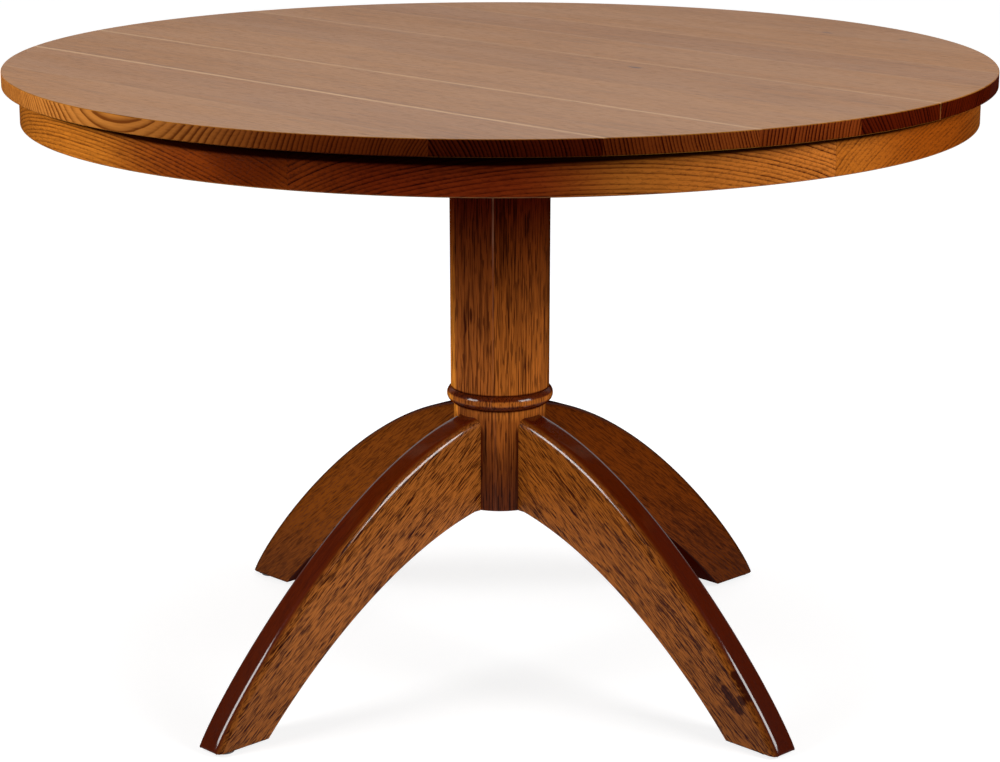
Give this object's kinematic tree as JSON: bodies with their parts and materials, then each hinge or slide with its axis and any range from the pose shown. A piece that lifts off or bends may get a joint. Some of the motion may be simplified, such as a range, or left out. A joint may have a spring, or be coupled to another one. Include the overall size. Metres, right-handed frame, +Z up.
{
  "type": "round pedestal table",
  "caption": "Round dining table: a flat disc top on a shallow ring apron, carried by one turned post that spreads into arched legs with glides.",
  "frame": {"origin": "on the floor under the middle of the round top", "axes": "+Z up, +X along the boards of the top, legs along the X and Y axes"},
  "size_m": [1.2, 1.2, 0.772],
  "materials": {
    "top_board": "satin lacquer over brown stain",
    "apron": "satin lacquer over brown stain",
    "post": "satin lacquer over brown stain",
    "leg": "satin lacquer over brown stain",
    "bearer": "planed and unfinished",
    "screw": "zinc plated",
    "plate": "plain sheet",
    "glide": "polished cap"
  },
  "bodies": {
    "root": {"top_board_1": "top_board", "top_board_2": "top_board", "top_board_3": "top_board", "top_board_4": "top_board", "top_board_5": "top_board", "top_board_6": "top_board", "top_board_7": "top_board", "top_board_8": "top_board", "top_board_9": "top_board", "apron_segment_1": "apron", "apron_segment_2": "apron", "apron_segment_3": "apron", "apron_segment_4": "apron", "apron_segment_5": "apron", "apron_segment_6": "apron", "bearer_across_boards": "bearer", "bearer_along_boards": "bearer", "board_screw_1": "screw", "board_screw_2": "screw", "board_screw_3": "screw", "board_screw_4": "screw", "board_screw_5": "screw", "board_screw_6": "screw", "board_screw_7": "screw", "board_screw_8": "screw", "board_screw_9": "screw", "board_screw_10": "screw", "board_screw_11": "screw", "board_screw_12": "screw", "post_lamination_left": "post", "post_lamination_middle": "post", "post_lamination_right": "post", "tenon_wedge": "bearer", "base_plate": "plate", "plate_screw_1": "screw", "plate_screw_2": "screw", "plate_screw_3": "screw", "plate_screw_4": "screw", "leg_1": "leg", "leg_2": "leg", "leg_3": "leg", "leg_4": "leg", "glide_1": "glide", "glide_2": "glide", "glide_3": "glide", "glide_4": "glide"}
  },
  "joints": []
}
